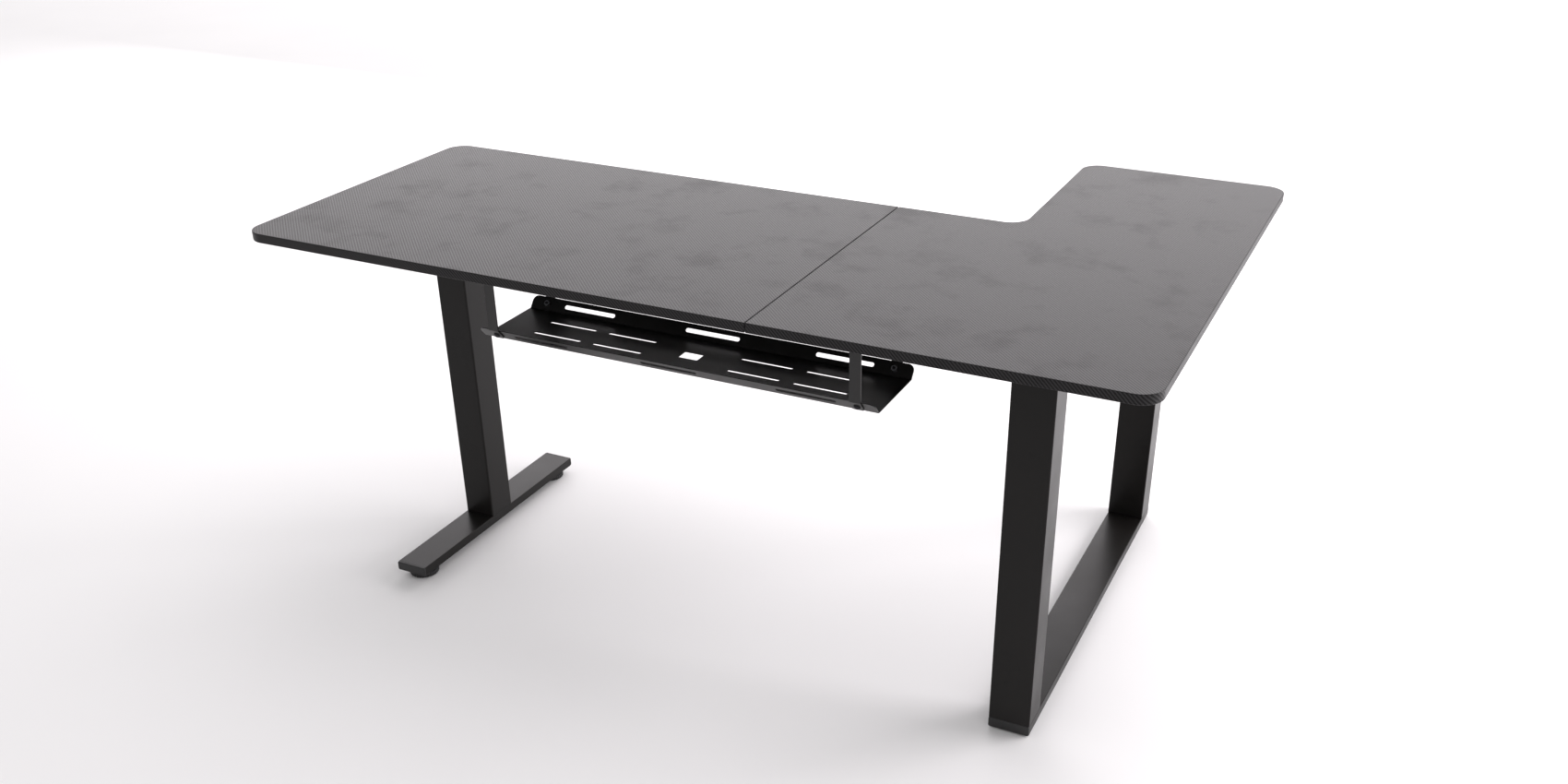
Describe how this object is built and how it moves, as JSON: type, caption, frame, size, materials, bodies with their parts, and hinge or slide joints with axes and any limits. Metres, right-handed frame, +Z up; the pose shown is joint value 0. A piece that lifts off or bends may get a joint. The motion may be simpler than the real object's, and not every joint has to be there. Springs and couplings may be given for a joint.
{
  "type": "computer desk",
  "caption": "L-shaped computer desk with a seamed carbon-weave top, a T-leg with levelling feet, a closed loop leg and a slotted cable tray under its back edge.",
  "frame": {"origin": "middle of the footprint's bounding box, on the floor", "axes": "+X along the long side from the T-leg to the loop leg, +Y from the wall side to the user's side, +Z up"},
  "size_m": [1.74, 1.095, 0.75],
  "materials": {
    "film": "fibreboard wrapped in a satin film with a fine twill weave, dark grey",
    "steel": "fine-textured black powder coat",
    "plastic": "moulded black plastic",
    "zinc": "bright zinc plate",
    "black_bolt": "black oxide"
  },
  "bodies": {
    "desk": {"top_board_left": "film", "top_board_right": "film", "seam_plate_back": "steel", "seam_plate_middle": "steel", "seam_plate_front": "steel", "t_leg_column": "steel", "t_leg_top_beam": "steel", "t_leg_foot_beam": "steel", "loop_bottom_beam": "steel", "loop_top_beam": "steel", "loop_post_back": "steel", "loop_post_front": "steel", "rail_back": "steel", "rail_front": "steel", "cable_tray": "steel", "rail_flange_back_left": "steel", "rail_flange_back_right": "steel", "rail_flange_front_left": "steel", "rail_flange_front_right": "steel", "tray_hanger_back_left": "steel", "tray_hanger_back_right": "steel", "tray_hanger_front_left": "steel", "tray_hanger_front_right": "steel", "t_leg_foot_cap_back": "plastic", "t_leg_foot_cap_front": "plastic", "loop_bottom_cap_back": "plastic", "loop_bottom_cap_front": "plastic", "loop_top_cap_back": "plastic", "loop_top_cap_front": "plastic", "loop_glide_1": "plastic", "loop_glide_2": "plastic", "loop_glide_3": "plastic", "loop_glide_4": "plastic", "leveller_insert_back": "zinc", "leveller_insert_front": "zinc", "tray_nut_back_left": "zinc", "tray_nut_back_right": "zinc", "tray_nut_front_left": "zinc", "tray_nut_front_right": "zinc", "rail_bolt_back_left": "black_bolt", "rail_bolt_back_right": "black_bolt", "rail_bolt_front_left": "black_bolt", "rail_bolt_front_right": "black_bolt", "leg_bolt_t_back": "black_bolt", "leg_bolt_t_front": "black_bolt", "leg_bolt_loop_back": "black_bolt", "leg_bolt_loop_front": "black_bolt", "tray_bolt_back_left": "black_bolt", "tray_bolt_back_right": "black_bolt", "tray_bolt_front_left": "black_bolt", "tray_bolt_front_right": "black_bolt", "hanger_screw_back_left": "black_bolt", "hanger_screw_back_right": "black_bolt", "hanger_screw_front_left": "black_bolt", "hanger_screw_front_right": "black_bolt"},
    "stud_back": {"leveller_stud_back": "zinc"},
    "foot_back": {"leveller_foot_back": "plastic"},
    "stud_front": {"leveller_stud_front": "zinc"},
    "foot_front": {"leveller_foot_front": "plastic"}
  },
  "joints": [
    {"name": "leveller_back_travel", "type": "slide", "parent": "desk", "child": "stud_back", "axis": [0, 0, -1], "range_m": [-0.0041, 0.0081]},
    {"name": "leveller_back_turn", "type": "hinge", "parent": "stud_back", "child": "foot_back", "pos_m": [-0.64, -0.45, 0.0175], "axis": [0, 0, -1], "range_deg": [-960, 1920]},
    {"name": "leveller_front_travel", "type": "slide", "parent": "desk", "child": "stud_front", "axis": [0, 0, -1], "range_m": [-0.0041, 0.0081]},
    {"name": "leveller_front_turn", "type": "hinge", "parent": "stud_front", "child": "foot_front", "pos_m": [-0.64, 0.018, 0.0175], "axis": [0, 0, -1], "range_deg": [-960, 1920]}
  ],
  "couplings": [
    {"joint": "leveller_back_travel", "follows": "leveller_back_turn", "m_per_rad": 0.00023873},
    {"joint": "leveller_front_travel", "follows": "leveller_front_turn", "m_per_rad": 0.00023873}
  ]
}
